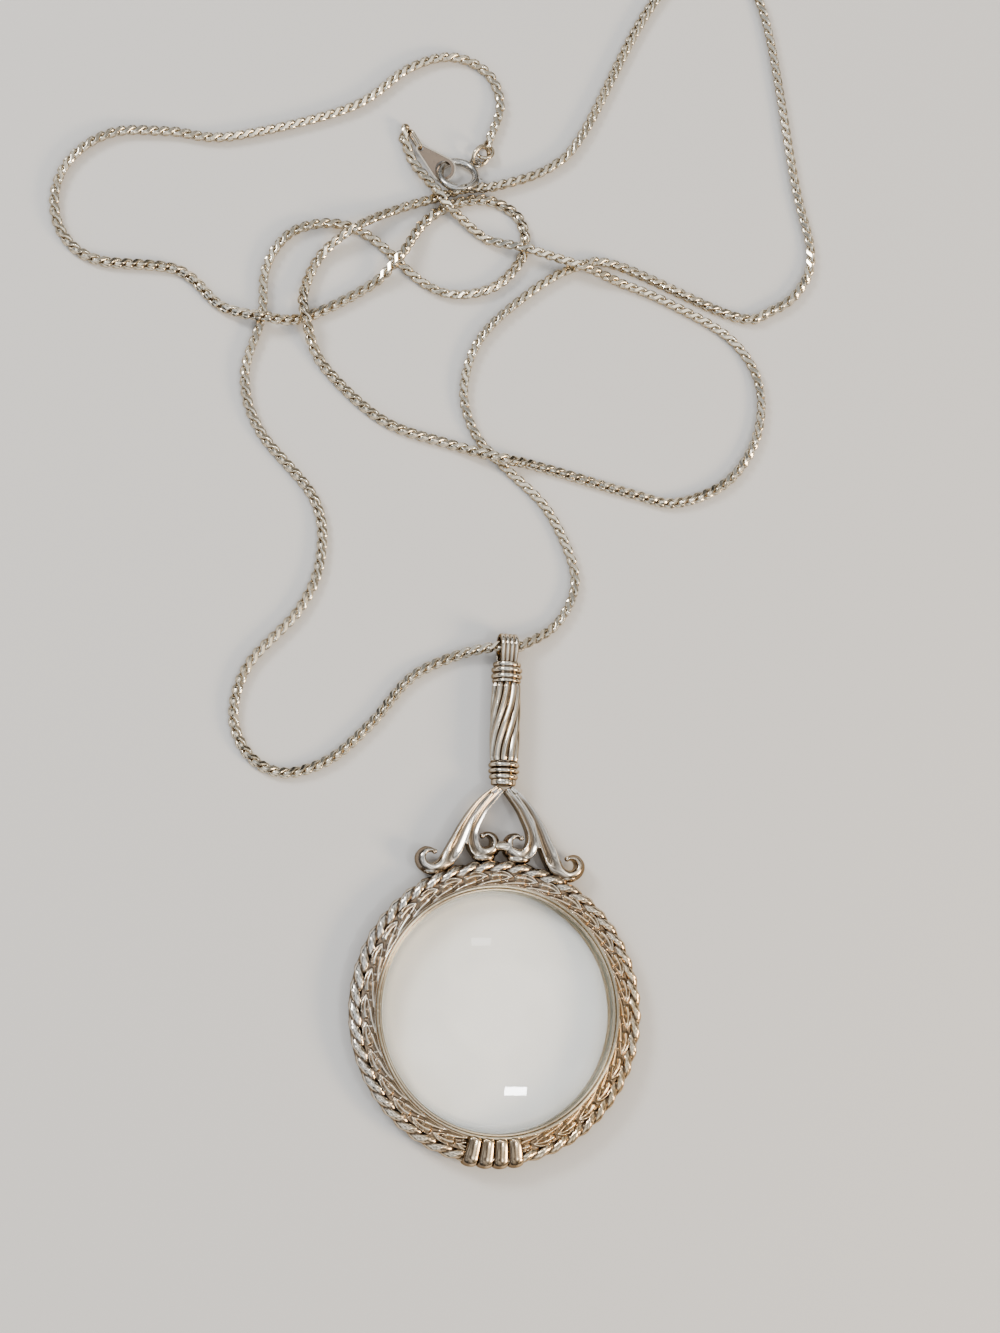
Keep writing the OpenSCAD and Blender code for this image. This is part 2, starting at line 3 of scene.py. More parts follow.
import math

import bpy
import numpy as np
from mathutils import Matrix, Vector


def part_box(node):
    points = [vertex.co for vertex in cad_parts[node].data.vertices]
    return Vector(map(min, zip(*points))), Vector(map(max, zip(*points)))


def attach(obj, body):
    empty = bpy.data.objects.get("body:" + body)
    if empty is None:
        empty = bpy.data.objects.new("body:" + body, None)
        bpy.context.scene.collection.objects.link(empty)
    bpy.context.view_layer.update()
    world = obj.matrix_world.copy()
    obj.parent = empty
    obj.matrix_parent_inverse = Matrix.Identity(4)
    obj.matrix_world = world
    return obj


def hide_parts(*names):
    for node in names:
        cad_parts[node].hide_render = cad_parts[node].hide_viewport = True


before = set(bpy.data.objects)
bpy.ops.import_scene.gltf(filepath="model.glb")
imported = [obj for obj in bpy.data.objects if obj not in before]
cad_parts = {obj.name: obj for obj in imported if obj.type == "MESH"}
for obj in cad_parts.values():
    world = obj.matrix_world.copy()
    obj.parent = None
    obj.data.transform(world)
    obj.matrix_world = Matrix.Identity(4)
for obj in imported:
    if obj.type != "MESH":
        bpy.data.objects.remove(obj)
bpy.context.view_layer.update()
MM = 0.001

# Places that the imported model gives
LENS_LOW, LENS_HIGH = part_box("lens")
GLASS = (LENS_LOW + LENS_HIGH) / 2
TIP_LOW, TIP_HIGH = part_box("lower_collar")
BARREL_LOW, BARREL_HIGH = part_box("barrel")
BAIL_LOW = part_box("bail")[0]
HANDLE_Z = (TIP_LOW.z + TIP_HIGH.z) / 2
BAIL_Y = GLASS.y + 56.83 * MM  # middle of the loop that the chain runs through

# Ring of the frame: radii from the middle of the glass, heights from the floor
BORE = 19.35 * MM  # inner edge of the ornamental band
BAND_OUT = 21.15 * MM  # its outer edge
BAND_H = 3.5 * MM
BACK_OUT = 22.6 * MM  # outer edge of the flat back
RING_R = 23.3 * MM  # outside of the rope, where the yoke stands
ROPE_AXIS = 22.2 * MM
ROPE_R = 1.1 * MM
ROPE_Z = 2.6 * MM
ROPE_LOBES = 50
LOBE_STEPS = 18
ROPE_ARC = np.radians(np.linspace(-70, 165, 36))  # the part of the rope's round that shows
STRAND_AT = 0.36 * MM  # middle of a strand, from the rope's axis
STRAND_R = 0.74 * MM
ROPE_LINES = 3  # fine lines on either side of a strand's crown
ROPE_LINE_DEPTH = 0.07 * MM
FLUTES = 4
FLUTE_PITCH = math.radians(6.1)
FLUTE_CROWN = 0.42 * MM  # how far a flute stands over the rope
FLUTE_VALLEY = 0.55 * MM
FLUTE_LIP = 0.35 * MM  # how far a flute reaches over the bezel
FLUTE_CLIMB = 0.5 * MM  # how far it rises on its way there
FLUTE_UNDER = np.array([[BORE - 0.1 * MM, 1.5 * MM], [ROPE_AXIS, 1.2 * MM]])
CUSP_AT = BORE + 0.1 * MM
CUSP_Z = ROPE_Z + ROPE_R + 0.55 * MM
CUSP_R = np.array([0.5, 0.36, 0.5]) * MM

# Wave ornament on the band, one motif: each ridge is a line of points (share of the motif round
# the ring, share of the band from the bezel to the rope), its width at either end and its height
MOTIFS = 32
MOTIF_STEPS = 40
BAND_GROUND = BAND_H - 0.25 * MM  # height of the band between its ridges
BAND_FOOT = 0.8 * MM
UNDER_ROPE = 0.38 * MM  # how far the band goes on under the rope
RIDGES = (
    (((0.1, 0.36), (0.2, 0.31), (0.5, 0.24), (0.8, 0.15), (1.05, 0.06)),
     0.3 * MM, 0.1 * MM, 0.5 * MM),
    (((0.38, 0.66), (0.22, 0.72), (0, 0.74), (-0.2, 0.7), (-0.36, 0.62)),
     0.28 * MM, 0.1 * MM, 0.46 * MM),
    (((0.6, 0.68), (0.78, 0.88), (1.0, 1.0), (1.2, 0.97)), 0.12 * MM, 0.14 * MM, 0.34 * MM),
    (((0.6, 0.66), (0.8, 0.5), (0.98, 0.4)), 0.12 * MM, 0.1 * MM, 0.3 * MM),
    (((0.74, 0.02), (0.78, 0.2), (0.76, 0.38)), 0.1 * MM, 0.08 * MM, 0.22 * MM),
    (((0, 0), (0.5, 0), (1, 0)), 0.16 * MM, 0.16 * MM, 0.55 * MM))

# Yoke: each row of a table gives the shares of half the yoke's width, of its height above the
# ring and, for a scroll, of the ribbon's width
YOKE_HALF = 13.5 * MM
YOKE_H = 11.5 * MM
YOKE_T = 2.4 * MM
RIBBON_W = 2.35 * MM
TROUGH_DEPTH = 0.45 * MM
TROUGH_HALF = 0.78  # share of the ribbon's half width
RIM_START = 0.9
CREST_OFF = 0.38  # how far the curl's crest is from the middle, towards the inside
ROUNDED_ROWS = 6  # rows of a scroll over which its end is rounded
OUTER_SCROLL = np.array([
    [0.07, 0.965, 0.43], [0.215, 0.85, 0.43], [0.315, 0.73, 0.53], [0.395, 0.594, 0.68],
    [0.46, 0.465, 0.81], [0.507, 0.35, 0.915], [0.556, 0.247, 1], [0.615, 0.142, 0.98],
    [0.693, 0.058, 0.85], [0.807, 0.066, 0.7], [0.911, 0.184, 0.64], [0.948, 0.316, 0.6],
    [0.904, 0.37, 0.47], [0.83, 0.337, 0.28], [0.774, 0.272, 0.16]])
INNER_SCROLL = np.array([
    [0.03, 0.95, 0.36], [0.107, 0.845, 0.38], [0.204, 0.719, 0.47], [0.274, 0.591, 0.55],
    [0.33, 0.467, 0.6], [0.359, 0.354, 0.7], [0.344, 0.222, 0.77], [0.289, 0.127, 0.81],
    [0.204, 0.088, 0.81], [0.1, 0.13, 0.72], [0.078, 0.219, 0.58], [0.1, 0.303, 0.47],
    [0.167, 0.35, 0.3], [0.219, 0.34, 0.22], [0.237, 0.323, 0.17]])
SHARED_RIDGE = np.array([
    [0.14, 0.9], [0.23, 0.775], [0.295, 0.68], [0.355, 0.585], [0.393, 0.45], [0.419, 0.325],
    [0.437, 0.25]])
SHARED_RIDGE_R = (0.2 * MM, 0.3 * MM)
SHARED_RIDGE_Z = HANDLE_Z + 0.36 * YOKE_T
# Bridge between the inner curls: right and up from the glass, and up from the handle's middle
BRIDGE = np.array([
    [-1.5, 25.3, 0], [-0.8, 25.4, 0.05], [0, 25.45, 0.1], [0.8, 25.4, 0.05], [1.5, 25.3, 0]]) * MM
BRIDGE_R = np.array([1.05, 0.9, 0.76, 0.9, 1.05]) * MM
# Rounded lumps that join the curls to the rope: place from the glass, half sizes
LUMP_Z = 2.3 * MM
LUMPS = (((2.85 * MM, 23.6 * MM), np.array([1.9, 0.8, 1.15]) * MM),
         ((10.9 * MM, 21.3 * MM), np.array([1.6, 0.9, 1.0]) * MM))
KNOB_R = np.array([0.42, 0.42, 0.55]) * MM  # half sizes of the lump that ends a curl
KNOB_Z = HANDLE_Z + 0.1 * MM

# Handle: a collar's rings give the middle, radius and half width of each as shares of the
# collar's length and outer radius
COLLAR_R = 2.43  # in mm, as all numbers of the barrel and the collars are
BARREL_R = 2.36  # over the ribs at half the barrel's length
RIBS = 10
RIB_STEPS = 20
RIB_TWIST = math.radians(78)
RIB_DEPTH = 0.55
RIB_LINE_DEPTH = 0.1  # of the fine line along one side of each rib
END_DROP = 0.15  # how much smaller the barrel is at its very ends
UPPER_RINGS = ((0.07, 0.93, 0.07), (0.3, 1, 0.12), (0.6, 1, 0.12), (0.87, 0.9, 0.09))
LOWER_RINGS = ((0.13, 0.8, 0.12), (0.36, 0.93, 0.12), (0.6, 1, 0.11), (0.85, 1, 0.12))
STRAP_LOOP_R = 1.6 * MM
STRAP_RIDGES = 4
STRAP_PITCH = 0.71 * MM
STRAP_CREST = 0.34 * MM  # height of a ridge over the strap's middle sheet
STRAP_BACK = -0.3 * MM
STRAP_FOOT = 2.9 * MM  # where it starts above the collar's lower end
STRAP_SPREAD = 1.15 * MM  # from the handle's line to either foot
STRAP_STEPS = 49
PLUG = ((0.01, 2.6), (1.05, 2.6), (1.0, 3.6), (0.85, 4.3), (0.01, 4.4))

# Chain
CHAIN_R = 0.8 * MM
LINK_PITCH = 1.7 * MM
LINK_WIRE = 0.42 * MM
LINK_HALF = (1.2 * MM, 0.47 * MM)  # length and width of half a link, to the middle of its wire
LINK_TWIST = 0.45 * MM
LINK_CUT = 0.7 * MM  # from the chain's middle line to the flat cuts
LINK_ROUND = 0.86 * MM  # and to its rounded corners
LINK_STEPS = 24
LINK_SIDES = 6
LINK_ROLL = math.radians(72)
ROLL_WAVES = ((0.3, 31 * MM, 0), (0.15, 12.3 * MM, 1))  # swing, run for each radian, start
STRAND_STEP = 1.65 * MM  # how much higher a strand lies on top of another
ROUTE_STEPS = 24

# The chain's route from the bail's middle: right and up in metres, and how many strands it lies on
ROUTE_RIGHT = np.array([
    [0.2, -0.1, 0.9], [2.5, 0.4, 0.75], [8, 4, 0], [11, 9.5, 0], [10.5, 15, 0],
    [6, 23, 0], [-1, 29, 0], [-6, 34, 0], [-8, 41, 0], [-5.5, 49.5, 0], [2, 57.5, 0],
    [9.5, 62.7, 0], [17, 64, 0], [37, 57.8, 0], [43.5, 59.3, 0], [48.5, 63.5, 0], [50.5, 70, 0],
    [47.5, 82, 0], [42.5, 107, 0], [38.5, 115.5, 0], [32, 119, 0], [26, 115, 0], [19.5, 105, 0],
    [10.5, 85.5, 0], [5, 79, 0], [-3.5, 74.9, 0.2], [-9.5, 73.4, 0.35], [-14, 71.5, 0.05],
    [-20.5, 68.7, 0], [-27, 64.7, 1.1], [-32, 60, 0.1], [-34.5, 54, 0.3], [-34.3, 49.5, 1.1],
    [-31, 42.5, 0], [-21, 34.5, 0], [-9.5, 31.6, 0], [-1.9, 29.9, 1.1], [4.5, 29.5, 0],
    [20, 26.6, 0], [28, 25.8, 0], [36.5, 30, 0], [41.5, 38, 0], [41.7, 47, 0], [36.5, 54, 0],
    [26, 58.7, 0], [17.5, 61.2, 0], [10.5, 62.7, 1.15], [1, 64.6, 1.1], [-5.5, 66, 0],
    [-12, 70, 1.15], [-13.7, 71.9, 1.25], [-17.7, 77.2, 0], [-19.2, 81.2, 0], [-18.9, 82.4, 0.1]
]) * [MM, MM, 1]
ROUTE_LEFT = np.array([
    [-0.2, -0.15, 0.9], [-2.5, -0.35, 0.8], [-8, -2, 0], [-15, -6, 0], [-21, -13.5, 0],
    [-27.5, -19.6, 0], [-34.5, -22, 0], [-40, -19.5, 0], [-42.5, -13.5, 0], [-40.5, -5.7, 0],
    [-33, 3.5, 0], [-30, 12, 0], [-31.5, 21, 0], [-40.5, 31, 0], [-43.2, 39.5, 0], [-41, 49, 0],
    [-40.6, 57, 0], [-37, 63, 0], [-30.5, 65.4, 0], [-24, 63.8, 0], [-15.5, 57.6, 0],
    [-9.5, 56.2, 0], [-3, 58.6, 0], [1.2, 64.5, 0], [0, 70, 0], [-5, 72.2, 0], [-10.5, 71, 0],
    [-15.5, 67.3, 0.05], [-19.6, 60.9, 1.1], [-24, 55.9, 0], [-34.3, 49.6, 0], [-41.2, 48.7, 1.1],
    [-47.5, 50.1, 0], [-54.5, 55, 0], [-67, 55.2, 0], [-72.5, 58.8, 0], [-74, 65, 0],
    [-71.5, 71.3, 0], [-65.5, 75.8, 0], [-57, 77.1, 0], [-47, 77.6, 0], [-28.5, 84.7, 0],
    [-19, 92.5, 0], [-12, 95.4, 0], [-6, 93.6, 0], [-3.6, 88.5, 0], [-5.2, 82.3, 0], [-5.4, 81.7, 0]
]) * [MM, MM, 1]

# Materials: noise scales are in waves to the metre
SILVER = (0.93, 0.9, 0.84)
CHAMPAGNE = (0.87, 0.68, 0.44)
# dark brown for painted shade and painted dark reflection, partly patina
SHADE_PATINA = (0.13, 0.085, 0.05)
EDGE_TINT = (0.62, 0.52, 0.4, 1)
PATCH_SCALE = 180
SCRATCH_SCALE = 2200
DUST_SCALE = 900
FROST_SCALE = 1500
PAINTED_WARM_WAY = (0.8, -0.6, 0)  # to the right and towards the bottom, where warm light is painted onto the plate
PAINTED_WARM_REACH = 24 * MM

# Painted shade on the plainer surfaces: backs, undersides, caps, plug and lumps between parts, as
# shares of the full dark colour
BACK_SHADE = 0.2
LUMP_SHADE = 0.3
UNDER_SHADE = 0.4
CAP_SHADE = 0.5
PLUG_SHADE = 0.6

# Light: a round lamp has its name, place in metres, power in watts and colour
SKY_PATCH_SCALE = 2.6
COOL_LIGHT = (0.92, 0.96, 1)
WARM_LIGHT = (1, 0.88, 0.72)
KEY = ("key", (-0.55, 0.35, 0.5), 14, (1, 0.985, 0.96))
WARM_FILL = ("warm_fill", (0.6, -0.3, 0.35), 16, (1, 0.76, 0.48))
LAMP_R = 0.12
CEILING_WAY = (0.41, -0.27, 1.09)  # from the glass
CEILING_AWAY = 1.2
CEILING_SIZE = (0.1, 0.035)
CEILING_POWER = 1.3

# Camera at the photograph's angle, placed from the middle of the glass
EYE = Vector((GLASS.x - 0.12535, GLASS.y - 0.02075, 0.43419))
AIM = Vector((GLASS.x - 0.00041, GLASS.y + 0.05391, 0))
ROLL = math.radians(1.793)
FOCAL_PIXELS = 2923.1
IMAGE_HEIGHT = 1333
SENSOR_HEIGHT = 36


class Shape:
    """Points and faces gathered into one mesh, with the painted shade at each point from 0 to 1,
    partly patina.
    """

    def __init__(self):
        self.points = []
        self.shades_and_stains = []
        self.faces = []
        self.flat = []
        self.count = 0

    def add(self, points, faces, flat, shade_and_stain):
        """Points, faces that count from the first of them, and which of the faces are flat."""
        self.shades_and_stains.append(np.broadcast_to(shade_and_stain, points.shape[:-1]).ravel())
        self.points.append(points.reshape(-1, 3))
        self.faces.extend((faces + self.count).tolist())
        self.flat.extend(flat.tolist())
        self.count += len(self.points[-1])

    def ring(self, points, shade_and_stain):
        """A closed tube over a grid of points, whose rows and columns both close on themselves."""
        faces = grid_faces(*points.shape[:2], True, True)
        self.add(points, faces, np.zeros(len(faces), bool), shade_and_stain)

    def bar(self, points, shade_and_stain=0.0):
        """A closed bar over a grid of points, each row once round it, with flat caps."""
        rows, columns = points.shape[:2]
        first = self.count
        last = first + (rows - 1) * columns
        faces = grid_faces(rows, columns, False, True)
        self.add(points, faces, np.zeros(len(faces), bool), shade_and_stain)
        self.faces.append(list(range(first + columns - 1, first - 1, -1)))
        self.faces.append(list(range(last, last + columns)))
        self.flat.extend([True, True])

    def mesh_object(self, name, material, slot, *nodes):
        """The finished piece, which rides on the necklace and stands for the nodes."""
        mesh = bpy.data.meshes.new(name)
        mesh.from_pydata(np.concatenate(self.points).tolist(), [], self.faces)
        mesh.polygons.foreach_set("use_smooth", ~np.array(self.flat))
        shade_and_patina = mesh.attributes.new("shade_and_patina", "FLOAT", "POINT")
        shade_and_patina.data.foreach_set("value", np.concatenate(self.shades_and_stains))
        mesh.materials.append(material)
        mesh.validate()
        piece = bpy.data.objects.new(name, mesh)
        bpy.context.scene.collection.objects.link(piece)
        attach(piece, "necklace")
        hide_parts(*nodes)


def grid_faces(rows, columns, wrap_rows, wrap_columns):
    """Quads over a grid of points, closed round either way where asked."""
    i = np.arange(rows if wrap_rows else rows - 1)
    j = np.arange(columns if wrap_columns else columns - 1)
    i, j = (v.ravel() for v in np.meshgrid(i, j, indexing="ij"))
    i2, j2 = (i + 1) % rows, (j + 1) % columns
    return np.stack([i * columns + j, i * columns + j2, i2 * columns + j2, i2 * columns + j], 1)


def unit(v):
    """Vectors at length 1."""
    return v / np.linalg.norm(v, axis=-1, keepdims=True)


def smooth_step(x, start, end):
    """From 0 at the start to 1 at the end, with soft ends."""
    x = np.clip((x - start) / (end - start), 0, 1)
    return x * x * (3 - 2 * x)


def circle(steps):
    """Angles once round, at even steps."""
    return 2 * math.pi * np.arange(steps) / steps


def smooth_rows(rows, steps):
    """A table's rows with smooth rows between them, through every one of them."""
    padded = np.vstack([2 * rows[0] - rows[1], rows, 2 * rows[-1] - rows[-2]])
    a, b, c, d = padded[:-3, None], padded[1:-2, None], padded[2:-1, None], padded[3:, None]
    t = (np.arange(steps) / steps)[None, :, None]
    cubic = (d - a) / 2 + 1.5 * (b - c)
    fine = b + t * ((c - a) / 2 + t * (a - 2.5 * b + 2 * c - d / 2 + t * cubic))
    return np.vstack([fine.reshape(-1, rows.shape[1]), rows[-1]])


def ring_points(angles, sections):
    """Sections of radius and height stood up at their angles round the glass."""
    angles = angles[:, None]
    radius, height = sections[..., 0], sections[..., 1]
    return np.stack(
        [GLASS.x + radius * np.cos(angles), GLASS.y + radius * np.sin(angles), height], -1)


def blob(shape, centre, radii, shade_and_stain=0.0):
    """A rounded lump of metal, with its poles cut a little flat."""
    rings, sides, pole = 13, 24, math.radians(84)
    up = np.linspace(-pole, pole, rings)[:, None]
    a = circle(sides)[None]
    ball = np.stack([np.cos(up) * np.cos(a), np.cos(up) * np.sin(a), np.sin(up) + 0 * a], -1)
    shape.bar(np.asarray(centre) + ball * radii, shade_and_stain)


def spokes(turn, side, up):
    """At each place on a path, the directions at some turns round it."""
    return np.cos(turn)[None, :, None] * side[:, None] + np.sin(turn)[None, :, None] * up[:, None]


def tube(shape, path, radii, sides=12):
    """A round bar along a path in space."""
    along = unit(np.gradient(path, axis=0))
    side = unit(np.cross(along, [0, 0, 1.0]))
    up = np.cross(side, along)
    shape.bar(path[:, None] + radii[:, None, None] * spokes(circle(sides), side, up))


# Parts of the materials: each adds a node to the tree and gives the socket of its result
def nodes_of(name):
    """A new material, its node tree and its shader."""
    material = bpy.data.materials.new(name)
    material.use_nodes = True
    return material, material.node_tree, material.node_tree.nodes["Principled BSDF"]


def noise_of(tree, place, scale, detail):
    noise = tree.nodes.new("ShaderNodeTexNoise")
    noise.inputs["Scale"].default_value = scale
    noise.inputs["Detail"].default_value = detail
    tree.links.new(place, noise.inputs["Vector"])
    return noise.outputs["Fac"]


def range_of(tree, value, old, new):
    """The value carried from an old range to a new one, and held inside it."""
    change = tree.nodes.new("ShaderNodeMapRange")
    tree.links.new(value, change.inputs["Value"])
    change.inputs["From Min"].default_value, change.inputs["From Max"].default_value = old
    change.inputs["To Min"].default_value, change.inputs["To Max"].default_value = new
    return change.outputs["Result"]


def mix_of(tree, share, a, b):
    """Colour a, which may be a socket, with a share of colour b."""
    mix = tree.nodes.new("ShaderNodeMix")
    mix.data_type = "RGBA"
    tree.links.new(share, mix.inputs["Factor"])
    if isinstance(a, bpy.types.NodeSocket):
        tree.links.new(a, mix.inputs["A"])
    else:
        mix.inputs["A"].default_value = (*a, 1)
    mix.inputs["B"].default_value = (*b, 1)
    return mix.outputs["Result"]


def math_of(tree, operation, a, b, clamp=False):
    step = tree.nodes.new("ShaderNodeMath")
    step.operation = operation
    step.use_clamp = clamp
    tree.links.new(a, step.inputs[0])
    tree.links.new(b, step.inputs[1])
    return step.outputs["Value"]


def vector_of(tree, operation, vector, other):
    step = tree.nodes.new("ShaderNodeVectorMath")
    step.operation = operation
    tree.links.new(vector, step.inputs[0])
    step.inputs[1].default_value = other
    return step.outputs["Value"]


def axis_of(tree, vector, axis):
    split = tree.nodes.new("ShaderNodeSeparateXYZ")
    tree.links.new(vector, split.inputs["Vector"])
    return split.outputs[axis]


def plate_colour(tree, place, bright, warm, dark, flank_shade, painted_warm_drift, painted_warm_facing):
    """Two tones in soft patches, with warm light painted more to the right and bottom by place, a
    painted warm reflection on the faces that lean that way, and a painted dark golden reflection
    on steep sides."""
    middle = PAINTED_WARM_WAY[0] * GLASS.x + PAINTED_WARM_WAY[1] * GLASS.y
    # painted warm light, stronger to the right and towards the bottom
    warmer = range_of(tree, vector_of(tree, "DOT_PRODUCT", place["Object"], PAINTED_WARM_WAY),
                      (middle - PAINTED_WARM_REACH, middle + PAINTED_WARM_REACH), (-painted_warm_drift, painted_warm_drift))
    patches = noise_of(tree, place["Object"], PATCH_SCALE, 3)
    tone = mix_of(tree, math_of(tree, "ADD", patches, warmer, clamp=True), bright, warm)
    # painted warm reflection on faces that lean to the right and towards the bottom
    lean = vector_of(tree, "DOT_PRODUCT", place["Normal"], PAINTED_WARM_WAY)
    painted_facing_tone = mix_of(tree, range_of(tree, lean, (0.1, 0.7), (0, painted_warm_facing)), tone,
                    (0.8 * warm[0], 0.7 * warm[1], 0.6 * warm[2]))
    # painted dark golden reflection on steep sides
    steep = range_of(tree, axis_of(tree, place["Normal"], "Z"), (0.8, 0.1), (0, flank_shade))
    return mix_of(tree, steep, painted_facing_tone, [0.3 * w + 0.7 * d for w, d in zip(warm, dark)])


def metal(name, bright, warm, dark, roughness, recess=0.5 * MM, flank_shade=0.95, painted_warm_drift=0.0, painted_warm_facing=0.0):
    """Polished plate with fine scratches, its recesses darkened with painted shade, partly patina.
    """
    material, tree, shader = nodes_of(name)
    shader.inputs["Metallic"].default_value = 1.0
    shader.inputs["Specular Tint"].default_value = EDGE_TINT
    place = tree.nodes.new("ShaderNodeTexCoord").outputs
    plate = plate_colour(tree, place, bright, warm, dark, flank_shade, painted_warm_drift, painted_warm_facing)
    # painted shade, partly patina: ambient occlusion darkens the colour in recesses, and so does
    # the mask given with each point
    hollow = tree.nodes.new("ShaderNodeAmbientOcclusion")
    hollow.only_local = True
    hollow.samples = 4
    hollow.inputs["Distance"].default_value = recess
    shut_in = range_of(tree, hollow.outputs["AO"], (0.75, 0.25), (0, 1))
    shade_and_patina = tree.nodes.new("ShaderNodeAttribute")
    shade_and_patina.attribute_name = "shade_and_patina"
    shaded_and_stained = math_of(tree, "MAXIMUM", shut_in, shade_and_patina.outputs["Fac"])
    tree.links.new(mix_of(tree, shaded_and_stained, plate, dark), shader.inputs["Base Color"])
    grain = noise_of(tree, place["Object"], SCRATCH_SCALE, 4)
    rough = range_of(tree, grain, (0.3, 0.7), (0.7 * roughness, 1.4 * roughness))
    tree.links.new(rough, shader.inputs["Roughness"])
    bump = tree.nodes.new("ShaderNodeBump")
    bump.inputs["Strength"].default_value = 0.25
    bump.inputs["Distance"].default_value = 0.01 * MM
    tree.links.new(grain, bump.inputs["Height"])
    tree.links.new(bump.outputs["Normal"], shader.inputs["Normal"])
    return material


def clear_glass():
    """The lens, with a trace of dust, and softer and greyer where it goes under the bezel."""
    material, tree, shader = nodes_of("clear_glass")
    shader.inputs["Transmission Weight"].default_value = 1.0
    shader.inputs["IOR"].default_value = 1.2
    shader.inputs["Coat Weight"].default_value = 1.0
    shader.inputs["Coat Roughness"].default_value = 0.02
    place = tree.nodes.new("ShaderNodeTexCoord").outputs["Object"]
    dusty = range_of(tree, noise_of(tree, place, DUST_SCALE, 5), (0.55, 0.8), (0, 0.05))
    away = vector_of(tree, "DISTANCE", place, GLASS)
    rim = range_of(tree, away, (17.2 * MM, 18.3 * MM), (0, 0.3))
    tree.links.new(math_of(tree, "ADD", dusty, rim), shader.inputs["Roughness"])
    grey = range_of(tree, away, (17.0 * MM, 18.0 * MM), (0, 1))
    tint = mix_of(tree, grey, (0.97, 0.985, 0.98), (0.66, 0.71, 0.74))
    tree.links.new(tint, shader.inputs["Base Color"])
    return material


def ground_glass():
    """The frosted edge of the lens, which sits in the bezel's groove."""
    material, tree, shader = nodes_of("ground_glass")
    shader.inputs["Roughness"].default_value = 0.6
    place = tree.nodes.new("ShaderNodeTexCoord").outputs["Object"]
    tone = mix_of(tree, noise_of(tree, place, FROST_SCALE, 2),
                  (0.8, 0.84, 0.85), (0.66, 0.71, 0.73))
    tree.links.new(tone, shader.inputs["Base Color"])
    return material


frame_metal = metal("frame_metal", SILVER, CHAMPAGNE, SHADE_PATINA, roughness=0.16,
                    recess=0.6 * MM, painted_warm_drift=0.5, painted_warm_facing=0.8)
handle_metal = metal("handle_metal", (0.95, 0.89, 0.78), CHAMPAGNE, SHADE_PATINA, roughness=0.13,
                     painted_warm_drift=0.4, painted_warm_facing=0.8)
bezel_metal = metal("bezel_metal", (0.95, 0.9, 0.78), (0.9, 0.76, 0.52), (0.55, 0.44, 0.3),
                    roughness=0.2, recess=0.15 * MM)
chain_metal = metal("chain_metal", (0.93, 0.89, 0.8), (0.86, 0.76, 0.57), (0.3, 0.22, 0.13),
                    roughness=0.14, recess=0.3 * MM)
clasp_metal = metal("clasp_metal", (0.74, 0.73, 0.71), (0.62, 0.6, 0.56), (0.1, 0.09, 0.08),
                    roughness=0.22, flank_shade=0.7)
link_metal = metal("link_metal", (0.9, 0.84, 0.72), (0.74, 0.6, 0.4), SHADE_PATINA,
                   roughness=0.14, recess=0.3 * MM)
# brighter metal for the tag's rim, a painted highlight
tag_rim_highlight_metal = metal("tag_rim_highlight_metal", (0.86, 0.8, 0.7), (0.74, 0.62, 0.46), SHADE_PATINA,
                      roughness=0.2)
tag_metal = metal("tag_metal", (0.42, 0.33, 0.26), (0.33, 0.25, 0.19), (0.1, 0.07, 0.05),
                  roughness=0.36)


# Frame
def round_rope(radius, arc):
    """Section points, as radius and height, at some distance from the rope's axis."""
    return np.stack([ROPE_AXIS + radius * np.cos(arc), ROPE_Z + radius * np.sin(arc)], -1)


def rope_ring(shape):
    """The twisted rope on its flat back: two strands, each with finer lines along it."""
    steps = ROPE_LOBES * LOBE_STEPS
    angles = circle(steps)
    phase = ROPE_LOBES * angles[:, None] / 2 - ROPE_ARC
    off = np.abs((phase + math.pi / 2) % math.pi - math.pi / 2)  # angle from a strand's crown
    radius = STRAND_AT * np.cos(off) + np.sqrt(STRAND_R ** 2 - (STRAND_AT * np.sin(off)) ** 2)
    line = (1 - np.abs(np.cos(ROPE_LINES * off))) * smooth_step(off, 1.3, 1.0)
    rope = round_rope(radius - ROPE_LINE_DEPTH * line, ROPE_ARC)
    foot = np.broadcast_to(np.array([[BORE, 0], [BACK_OUT, 0]]), (steps, 2, 2))
    # painted shade in the furrows between strands and in their fine lines, partly patina, and a
    # little on the flat back
    rope_shade = np.maximum(0.95 * smooth_step(off, 0.95, 1.45), 0.4 * line ** 3)
    shade_and_stain = np.concatenate([np.full((steps, 2), BACK_SHADE), rope_shade], 1)
    shape.ring(ring_points(angles, np.concatenate([foot, rope], 1)), shade_and_stain)


def ridge_height(x, y, line, wide, thin):
    """Height from 0 to 1 of a tapering ridge along a line of points, lower where it is thin."""
    steepness, lowest = 2.6, 0.55
    height = np.zeros(x.shape)
    for i, ((ax, ay), (bx, by)) in enumerate(zip(line, line[1:])):
        dx, dy = bx - ax, by - ay
        t = np.clip(((x - ax) * dx + (y - ay) * dy) / (dx * dx + dy * dy), 0, 1)
        width = wide + (thin - wide) * (i + t) / (len(line) - 1)
        away = np.hypot(x - ax - t * dx, y - ay - t * dy) / width
        full = lowest + (1 - lowest) * width / wide
        height = np.maximum(height, np.exp(-away ** steepness) * full)
    return height


